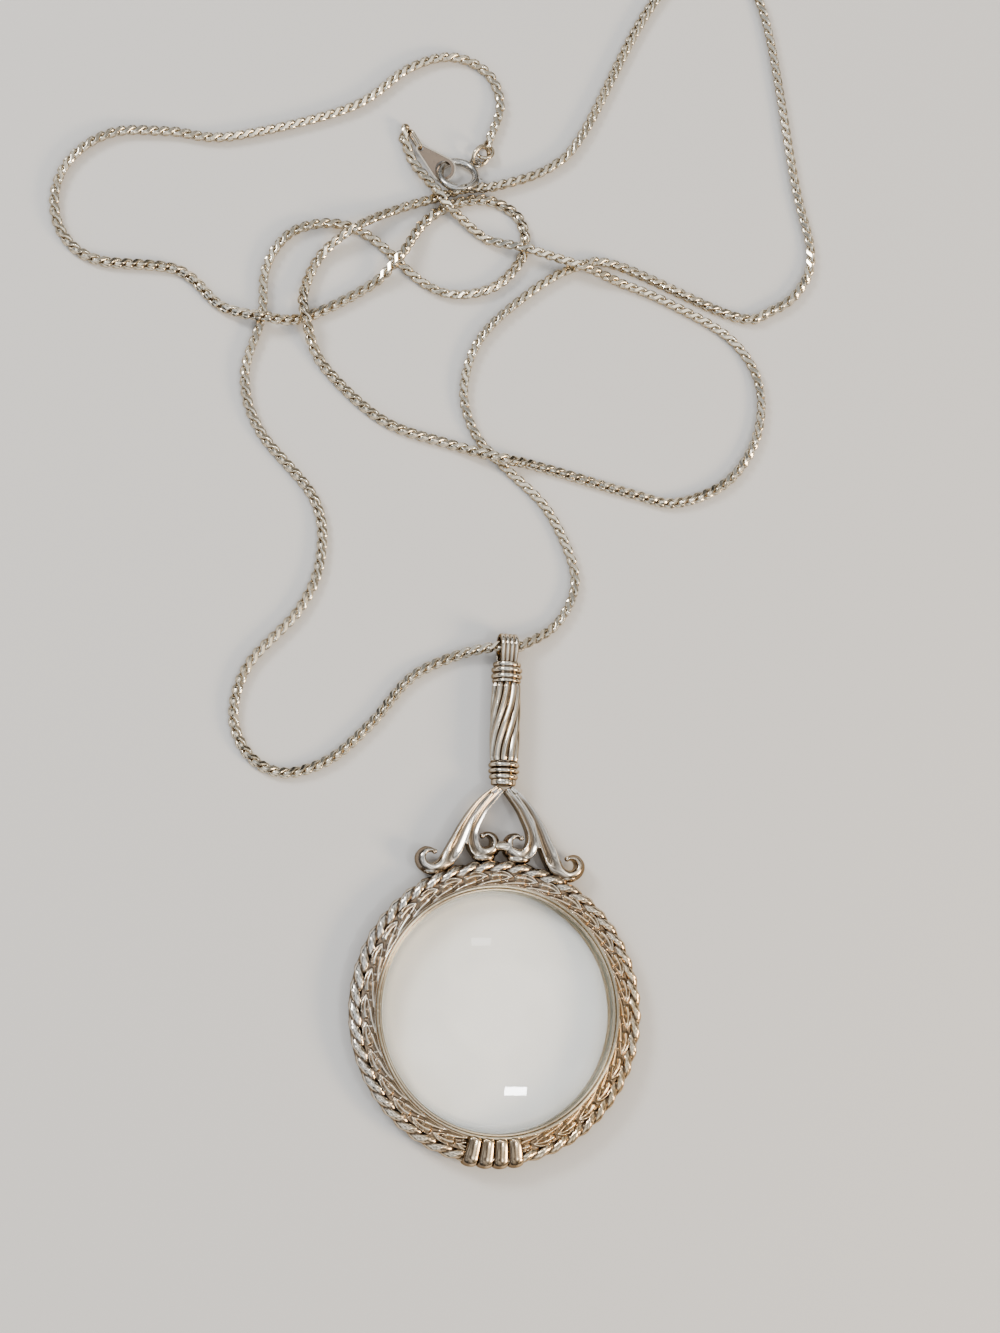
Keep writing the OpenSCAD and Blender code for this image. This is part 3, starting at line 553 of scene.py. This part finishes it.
def ornamental_band(shape):
    """The band between rope and bezel, with the wave motif repeated round it."""
    across = np.linspace(1, 0, 30)
    length = 2 * math.pi * (BORE + BAND_OUT) / 2 / MOTIFS
    width = BAND_OUT - BORE
    x = (np.arange(MOTIF_STEPS) / MOTIF_STEPS * length)[:, None] + 0 * across
    y = across[None] * width + 0 * x
    relief = np.zeros(x.shape)
    for line, wide, thin, tall in RIDGES:
        for turn in (-1, 0, 1):
            scaled = [((u + turn) * length, v * width) for u, v in line]
            relief = np.maximum(relief, tall * ridge_height(x, y, scaled, wide, thin))
    steps = MOTIFS * MOTIF_STEPS
    # painted shade on the low ground between the ridges, partly patina, and full painted shade
    # where the band runs on under the rope
    shade_and_stain = np.tile(0.92 * smooth_step(relief, 0.24 * MM, 0), (MOTIFS, 1))
    shade_and_stain = np.concatenate([shade_and_stain, np.ones((steps, 1))], 1)
    height = np.tile(relief, (MOTIFS, 1)) + BAND_GROUND
    height = np.concatenate([height, np.full((steps, 1), BAND_FOOT)], 1)
    radius = np.broadcast_to(BORE + np.append(across, 0) * (width + UNDER_ROPE), height.shape)
    shape.ring(ring_points(circle(steps), np.stack([radius, height], -1)), shade_and_stain)


def flutes(shape):
    """The cuff at the bottom: convex flutes over the ring, each with a cusp at its inner end, and a
    painted dark reflection down one side of each.
    """
    turns = np.radians(np.linspace(-65, 90, 20))
    inward = np.linspace(0, 1, 14)
    across = np.linspace(-1, 1, 15)
    rise = np.sqrt(np.maximum(0, 1 - across ** 2))
    radius = (ROPE_R + FLUTE_CROWN - FLUTE_VALLEY * (1 - rise))[:, None]
    outside = round_rope(radius, turns)
    edge = BORE - FLUTE_LIP * (1 - across[:, None] ** 2)
    rounding = 0.12
    drop = np.maximum(0, (inward - 1 + rounding) / rounding) ** 2
    top = ROPE_Z + radius + FLUTE_CLIMB * (np.sin(math.pi * inward / 2) - drop)
    inside = np.stack([ROPE_AXIS + (edge - ROPE_AXIS) * inward, top], -1)
    under = np.broadcast_to(FLUTE_UNDER, (len(across), 2, 2))
    section = np.concatenate([outside, inside[:, 1:], under], 1)
    # painted dark reflection down one side of each flute and painted shade in the creases at its
    # edges, fading towards its inner end
    shadow_at, shadow_half, darkest = -0.38, 0.42, 0.82
    shadow = 1.25 * np.exp(-((across - shadow_at) / shadow_half) ** 2) + np.abs(across) ** 4
    faint = np.concatenate(
        [np.ones(len(turns)), smooth_step(inward[1:], 0.95, 0.75), [0.3, 0.3]])
    shade_and_stain = np.clip(shadow, 0, darkest)[:, None] * faint
    for i in range(FLUTES):
        middle = math.radians(270) + FLUTE_PITCH * (i - (FLUTES - 1) / 2)
        shape.bar(ring_points(middle + across * FLUTE_PITCH / 2, section), shade_and_stain)
        cusp = middle - 0.12 * FLUTE_PITCH
        blob(shape, (GLASS.x + CUSP_AT * math.cos(cusp), GLASS.y + CUSP_AT * math.sin(cusp),
                     CUSP_Z), CUSP_R)


def yoke_place(table):
    """Plan points of a yoke table, on the right side of the handle, in metres from the glass."""
    across = table[:, 0] * YOKE_HALF
    return np.stack([across, np.sqrt(RING_R ** 2 - across ** 2) + table[:, 1] * YOKE_H], -1)


def scroll(shape, table, side, inside):
    """A ribbon with two rims and a trough, which turns into a round bar along its curl. Side is 1
    on the right and -1 on the left, and inside is the sign of the ribbon's side in the curl."""
    rows = smooth_rows(table, 10)
    at = yoke_place(rows)
    along = unit(np.gradient(at, axis=0))
    across = np.stack([along[:, 1], -along[:, 0]], -1)
    width = rows[:, 2:3]
    share = np.linspace(0, 1, len(rows))[:, None]
    curl = smooth_step(share, 0.42, 0.62)
    half = width * RIBBON_W / 2 * (1 + 0.14 * curl)
    thick = YOKE_T * (0.6 + 0.4 * width)
    top = np.linspace(-1, 1, 25)
    bottom = np.linspace(0.9, -0.9, 7)
    trough = np.cos(np.clip(top / TROUGH_HALF, -1, 1) * math.pi / 2) ** 1.2
    rim = np.maximum(0, (np.abs(top) - RIM_START) / (1 - RIM_START)) ** 2
    channel = thick / 2 - TROUGH_DEPTH * width * trough - 0.25 * thick * rim
    crest = CREST_OFF * inside
    from_crest = (top - crest) / (1 - crest * np.sign(top - crest))
    bar = thick / 2 - 0.5 * thick * np.abs(from_crest) ** 2.2
    ends = np.minimum(1, (np.arange(len(rows))[::-1] + 0.01) / ROUNDED_ROWS)[:, None]
    ends = np.sqrt(1 - (1 - ends) ** 2)
    upper = channel + (bar - channel) * curl
    heights = np.concatenate([upper, 0 * bottom - thick / 2], 1) * ends
    sides = half * np.concatenate([top, bottom]) * ends
    # painted shade on the outer side of each curl, in the ribbon's trough (partly patina) and on
    # its underside
    dark_side = 0.8 * curl * smooth_step(-inside * (top - crest), 0.2, 0.8)
    in_trough = (0.3 * trough ** 0.5 + 0.55 * trough ** 2) * (1 - curl)
    shade_and_stain = np.concatenate([in_trough * smooth_step(share, 0, 0.1) + dark_side,
                            np.full((len(rows), len(bottom)), UNDER_SHADE)], 1)
    shape.bar(np.stack([GLASS.x + side * (at[:, 0:1] + sides * across[:, 0:1]),
                        GLASS.y + at[:, 1:2] + sides * across[:, 1:2],
                        HANDLE_Z + heights], -1), shade_and_stain)
    knob = at[-4]
    blob(shape, (GLASS.x + side * knob[0], GLASS.y + knob[1], KNOB_Z), KNOB_R)


def yoke(shape):
    """The scrollwork that carries the ring, with its lumps, ridges and the bridge."""
    for side in (1, -1):
        scroll(shape, OUTER_SCROLL, side, -1)
        scroll(shape, INNER_SCROLL, side, 1)
        for (right, up), radii in LUMPS:
            blob(shape, (GLASS.x + side * right, GLASS.y + up, LUMP_Z), radii, LUMP_SHADE)
        ridge = yoke_place(smooth_rows(SHARED_RIDGE, 6))
        path = np.stack([GLASS.x + side * ridge[:, 0], GLASS.y + ridge[:, 1],
                         np.full(len(ridge), SHARED_RIDGE_Z)], -1)
        tube(shape, path, np.linspace(*SHARED_RIDGE_R, len(path)))
    tube(shape, BRIDGE + [GLASS.x, GLASS.y, HANDLE_Z], BRIDGE_R)


shape = Shape()
rope_ring(shape)
ornamental_band(shape)
flutes(shape)
yoke(shape)
shape.mesh_object("cast_frame", frame_metal, "frame_metal", "frame")


# Handle
def barrel(shape):
    """The fluted barrel with its twisted, rounded ribs."""
    t = np.linspace(0, 1, 90)[:, None]
    a = circle(RIBS * RIB_STEPS)[None]
    turn = RIB_TWIST * smooth_step(t, 0, 1)
    rib = np.abs(np.cos(a * RIBS / 2)) ** 0.9
    groove = 0.62  # the rib's own height where its groove starts
    fine = np.exp(-((rib - groove) / 0.1) ** 2) * (np.sin(a * RIBS) > 0)
    ends = smooth_step(t, 0, 0.05) * smooth_step(t, 1, 0.95)
    belly = 0.1 * (2 * t - 1) ** 4
    radius = MM * (BARREL_R - belly - RIB_DEPTH * (1 - rib) - RIB_LINE_DEPTH * fine
                   - END_DROP * (1 - ends))
    x = GLASS.x + radius * np.cos(a + turn)
    z = HANDLE_Z - radius * np.sin(a + turn)
    y = BARREL_LOW.y + (BARREL_HIGH.y - BARREL_LOW.y) * t + 0 * x
    # painted shade in the grooves between the ribs and in each rib's fine line, partly patina
    shade_and_stain = np.maximum(smooth_step(rib, groove, 0.17), 0.45 * fine) + 0 * t
    shape.bar(np.stack([x, y, z], -1), shade_and_stain)


def turned(shape, profile, y, shade_and_stain):
    """A piece turned round the handle's line from points of radius and length in millimetres."""
    a = circle(72)
    profile = np.asarray(profile) * MM
    radius, length = profile[:, 0:1], profile[:, 1:2]
    shape.bar(np.stack([GLASS.x + radius * np.cos(a), y + length + 0 * a,
                        HANDLE_Z - radius * np.sin(a)], -1), np.reshape(shade_and_stain, (-1, 1)))


def ringed_collar(shape, y, length, rings, start, end, core):
    """A collar with rounded rings, in millimetres: start and end are the radii of its two ends,
    and core is the share of the outer radius that the rings stand on."""
    bevel = 0.03
    profile = [(0.01, 0), (start * 0.97, 0), (start, bevel)]
    # painted shade on the end caps and in the creases between the rings
    shade_and_stain = [CAP_SHADE] * 3
    for middle, height, half in rings:
        t = np.radians(np.linspace(0, 180, 15))
        bulge = height - core
        profile += [(COLLAR_R * (core + bulge * math.sin(a)),
                     length * (middle - half * math.cos(a))) for a in t]
        shade_and_stain += [0.9 * (1 - math.sin(a)) ** 2 for a in t]
    profile += [(end, length - bevel), (end * 0.97, length), (0.01, length)]
    turned(shape, profile, y, shade_and_stain + [CAP_SHADE] * 3)


def strap_bail(shape):
    """A strap of ridges side by side that loops over the chain and runs down into the collar."""
    y0 = BAIL_LOW.y
    ringed_collar(shape, y0, 3.25, UPPER_RINGS, 2.2, 1.9, core=0.86)
    leg = np.linspace(0, 1, 12)[:, None]
    foot = np.array([y0 + STRAP_FOOT, STRAP_SPREAD])
    t = np.radians(np.linspace(-8, 188, STRAP_STEPS))
    loop = np.stack([BAIL_Y + STRAP_LOOP_R * np.sin(t), STRAP_LOOP_R * np.cos(t)], -1)
    line = np.vstack([foot + (loop[0] - foot) * leg[:-1], loop,
                      loop[-1] + (foot * [1, -1] - loop[-1]) * leg[1:]])
    along = unit(np.gradient(line, axis=0))
    out = np.stack([-along[:, 1], along[:, 0]], -1)
    x = np.linspace(-0.5, 0.5, STRAP_STEPS) * STRAP_RIDGES
    round_top = np.sqrt(np.maximum(0, 1 - (2 * (x % 1.0) - 1) ** 2))
    narrow = 1 - 0.1 * smooth_step(line[:, 0:1], BAIL_Y - 0.8 * MM, BAIL_Y - 3.3 * MM)
    wide = x * STRAP_PITCH * narrow
    wide = np.concatenate([wide, wide[:, ::-1]], 1)
    lift = STRAP_CREST * round_top - 0.02 * MM
    heights = np.concatenate([lift, np.full(len(x), STRAP_BACK)])
    y = line[:, 0:1] + out[:, 0:1] * heights
    z = line[:, 1:2] + out[:, 1:2] * heights
    # painted shade between the ridges, on the strap's back, and low down where it goes into the
    # collar
    shade_and_stain = np.concatenate([0.85 * (1 - round_top) ** 2, np.full(len(x), CAP_SHADE)])
    low_down = 0.45 * smooth_step(line[:, 0:1], foot[0] + 2.4 * MM, foot[0] + 0.6 * MM)
    shape.bar(np.stack([GLASS.x + wide, y, HANDLE_Z + z], -1), np.maximum(shade_and_stain, low_down))
    turned(shape, PLUG, y0, PLUG_SHADE)


def tip_collar(shape):
    """The ringed collar between the barrel and the yoke."""
    ringed_collar(shape, TIP_LOW.y, (TIP_HIGH.y - TIP_LOW.y) / MM, LOWER_RINGS, 1.7, 2.2,
                  core=0.74)


for name, build, node in (("fluted_barrel", barrel, "barrel"), ("strap_bail", strap_bail, "bail"),
                          ("tip_collar", tip_collar, "lower_collar")):
    shape = Shape()
    build(shape)
    shape.mesh_object(name, handle_metal, "handle_metal", node)


# Chain
def chain_line():
    """Points along the whole chain, from the end link round to the tag's link."""
    route = np.vstack([ROUTE_LEFT[::-1], ROUTE_RIGHT[1:]])
    line = smooth_rows(route, ROUTE_STEPS)
    level = np.interp(np.arange(len(line)) / ROUTE_STEPS, np.arange(len(route)), route[:, 2])
    line[:, 2] = CHAIN_R + level * STRAND_STEP
    line[:, 0] += GLASS.x
    line[:, 1] += BAIL_Y
    return line


def links_along(line):
    """Link centres, and the vectors along, beside and above each link, which rolls as it goes."""
    run = np.concatenate([[0], np.cumsum(np.linalg.norm(np.diff(line, axis=0), axis=1))])
    count = int(run[-1] / LINK_PITCH)
    at = (np.arange(count) + 0.5) * run[-1] / count
    behind, centre, ahead = (np.stack([np.interp(at + step, run, line[:, k]) for k in range(3)], -1)
                             for step in (-LINK_PITCH / 2, 0, LINK_PITCH / 2))
    along = unit(ahead - behind)
    side = unit(np.cross([0, 0, 1.0], along))
    up = np.cross(along, side)
    roll = LINK_ROLL + sum(swing * np.sin(at / length + start)
                           for swing, length, start in ROLL_WAVES)
    c, s = np.cos(roll)[:, None], np.sin(roll)[:, None]
    return centre, along, c * side + s * up, c * up - s * side


def link_shape():
    """One curb link round the origin: a twisted ring with its outside cut flat on four sides."""
    length, width = LINK_HALF
    t = circle(LINK_STEPS)
    path = np.stack([length * np.cos(t), width * np.sin(t), -LINK_TWIST * np.sin(2 * t)], -1)
    along = unit(np.stack(
        [-length * np.sin(t), width * np.cos(t), -2 * LINK_TWIST * np.cos(2 * t)], -1))
    out = path * [0.5, 1, 1]
    out = unit(out - (out * along).sum(-1, keepdims=True) * along)
    other = np.cross(along, out)
    turn = math.radians(30) + circle(LINK_SIDES)
    points = path[:, None] + LINK_WIRE * spokes(turn, out, other)
    clamped = np.clip(points[..., 1:], -LINK_CUT, LINK_CUT)
    radial = np.linalg.norm(clamped, axis=-1, keepdims=True)
    clamped = clamped * np.minimum(1, LINK_ROUND / np.maximum(radial, 1e-9))
    was_cut = np.abs(points[..., 1:] - clamped).max(-1) > 0.02 * MM
    points = np.concatenate([points[..., :1], clamped], -1)
    faces = grid_faces(LINK_STEPS, LINK_SIDES, True, True)
    flat = was_cut.ravel()[faces].sum(1) >= 3
    away = np.linalg.norm(points[..., 1:], axis=-1)
    # painted shade on the wire where it lies near the chain's middle line, between the links
    shade_and_stain = 0.9 * smooth_step(away, 0.62 * MM, 0.32 * MM)
    return points.reshape(-1, 3), faces, flat, shade_and_stain.ravel()


def curb_chain():
    """Both sides of the chain, link by link, which meet inside the bail."""
    centre, along, side, up = links_along(chain_line())
    points, faces, flat, shade_and_stain = link_shape()
    placed = (centre[:, None] + points[None, :, 0:1] * along[:, None]
              + points[None, :, 1:2] * side[:, None] + points[None, :, 2:3] * up[:, None])
    placed[..., 2] = np.maximum(placed[..., 2], 0)
    middle = np.argmin(np.linalg.norm(centre[:, :2] - [GLASS.x, BAIL_Y], axis=1))
    for name, links, node in (("curb_chain_left", placed[:middle], "chain_left"),
                              ("curb_chain_right", placed[middle:], "chain_right")):
        offsets = np.arange(len(links))[:, None, None] * len(points)
        shape = Shape()
        shape.add(links, (faces[None] + offsets).reshape(-1, 4), np.tile(flat, len(links)), shade_and_stain)
        shape.mesh_object(name, chain_metal, "chain_metal", node)


curb_chain()

# Solids of the model that are shown as they are
for node, material in (("lens", clear_glass()), ("bezel", bezel_metal), ("end_link", link_metal),
                       ("jump_ring", link_metal), ("clasp_ring", clasp_metal),
                       ("clasp_bolt", clasp_metal), ("tag", tag_metal), ("tag_link", link_metal)):
    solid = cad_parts[node]
    solid.data.materials.clear()
    solid.data.materials.append(material)
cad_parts["lens"].visible_shadow = False


def face_values(mesh, name, width):
    """One measure of each of a mesh's faces, with so many numbers to a face."""
    values = np.empty(width * len(mesh.polygons))
    mesh.polygons.foreach_get(name, values)
    return values.reshape(-1, width)


def ground_edge():
    """The lens is frosted on the faces that stand upright round its edge."""
    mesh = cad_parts["lens"].data
    mesh.materials.append(ground_glass())
    upright = np.abs(face_values(mesh, "normal", 3)[:, 2]) < 0.5
    mesh.polygons.foreach_set("material_index", upright.astype(int))


def painted_rim_highlight():
    """The tag's rim gets the brighter metal as a painted highlight, and its sunk faces stay brown.
    """
    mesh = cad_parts["tag"].data
    mesh.materials.append(tag_rim_highlight_metal)
    normals = face_values(mesh, "normal", 3)
    axis = normals[np.argmax(face_values(mesh, "area", 1))]
    depth = face_values(mesh, "center", 3) @ axis
    depth = np.abs(depth - (depth.min() + depth.max()) / 2)
    sunk = (np.abs(normals @ axis) > 0.9) & (depth < depth.max() - 0.04 * MM)
    mesh.polygons.foreach_set("material_index", np.where(sunk, 0, 1))


ground_edge()
painted_rim_highlight()


# Stage, light and camera
def pale_floor():
    reach = 12.0
    mesh = bpy.data.meshes.new("floor")
    corners = [(-reach, -reach, 0), (reach, -reach, 0), (reach, reach, 0), (-reach, reach, 0)]
    mesh.from_pydata(corners, [], [(0, 1, 2, 3)])
    floor = bpy.data.objects.new("floor", mesh)
    bpy.context.scene.collection.objects.link(floor)
    paint, _, shader = nodes_of("floor_paint")
    shader.inputs["Base Color"].default_value = (0.84, 0.84, 0.84, 1)
    shader.inputs["Roughness"].default_value = 0.8
    mesh.materials.append(paint)


def studio_sky():
    """Brighter overhead, warmer on the right, and in soft patches for the metal to reflect."""
    world = bpy.data.worlds.new("studio")
    bpy.context.scene.world = world
    world.use_nodes = True
    tree = world.node_tree
    direction = tree.nodes.new("ShaderNodeTexCoord").outputs["Generated"]
    glow = range_of(tree, axis_of(tree, direction, "Z"), (0.2, 0.9), (0.1, 1.15))
    patch = range_of(tree, noise_of(tree, direction, SKY_PATCH_SCALE, 1),
                     (0.44, 0.56), (0.28, 1.75))
    side = range_of(tree, axis_of(tree, direction, "X"), (-0.3, 0.7), (0, 1))
    tint = mix_of(tree, side, COOL_LIGHT, WARM_LIGHT)
    background = tree.nodes["Background"].inputs
    tree.links.new(tint, background["Color"])
    tree.links.new(math_of(tree, "MULTIPLY", glow, patch), background["Strength"])


def place_light(name, kind, place, power, colour):
    lamp = bpy.data.lights.new(name, kind)
    lamp.energy = power
    lamp.color = colour
    holder = bpy.data.objects.new(name, lamp)
    holder.matrix_world = place
    bpy.context.scene.collection.objects.link(holder)
    return lamp


def lamps():
    """Two soft lamps, and a small ceiling lamp that shows as a bright bar low in the glass."""
    for name, place, power, colour in (KEY, WARM_FILL):
        lamp = place_light(name, "POINT", Matrix.Translation(place), power, colour)
        lamp.shadow_soft_size = LAMP_R
    back = Vector(CEILING_WAY).normalized()
    over = back.cross(Vector((1, 0, 0))).normalized()
    turned_down = Matrix((over.cross(back), over, back)).transposed().to_4x4()
    place = Matrix.Translation(GLASS + CEILING_AWAY * back) @ turned_down
    lamp = place_light("ceiling", "AREA", place, CEILING_POWER, (0.97, 0.98, 1))
    lamp.shape = "RECTANGLE"
    lamp.size, lamp.size_y = CEILING_SIZE


def photo_camera():
    """The camera where the photograph was taken from, turned a little about its own line."""
    forward = (AIM - EYE).normalized()
    level = forward.cross(Vector((0, 1, 0))).normalized()
    upright = level.cross(forward)
    right = math.cos(ROLL) * level + math.sin(ROLL) * upright
    upward = -math.sin(ROLL) * level + math.cos(ROLL) * upright
    lens = bpy.data.cameras.new("camera")
    lens.sensor_fit = "VERTICAL"
    lens.sensor_height = SENSOR_HEIGHT
    lens.lens = FOCAL_PIXELS / IMAGE_HEIGHT * SENSOR_HEIGHT
    lens.clip_start = 0.01
    camera = bpy.data.objects.new("camera", lens)
    turn = Matrix((right, upward, -forward)).transposed().to_4x4()
    camera.matrix_world = Matrix.Translation(EYE) @ turn
    bpy.context.scene.collection.objects.link(camera)
    bpy.context.scene.camera = camera


pale_floor()
studio_sky()
lamps()
photo_camera()
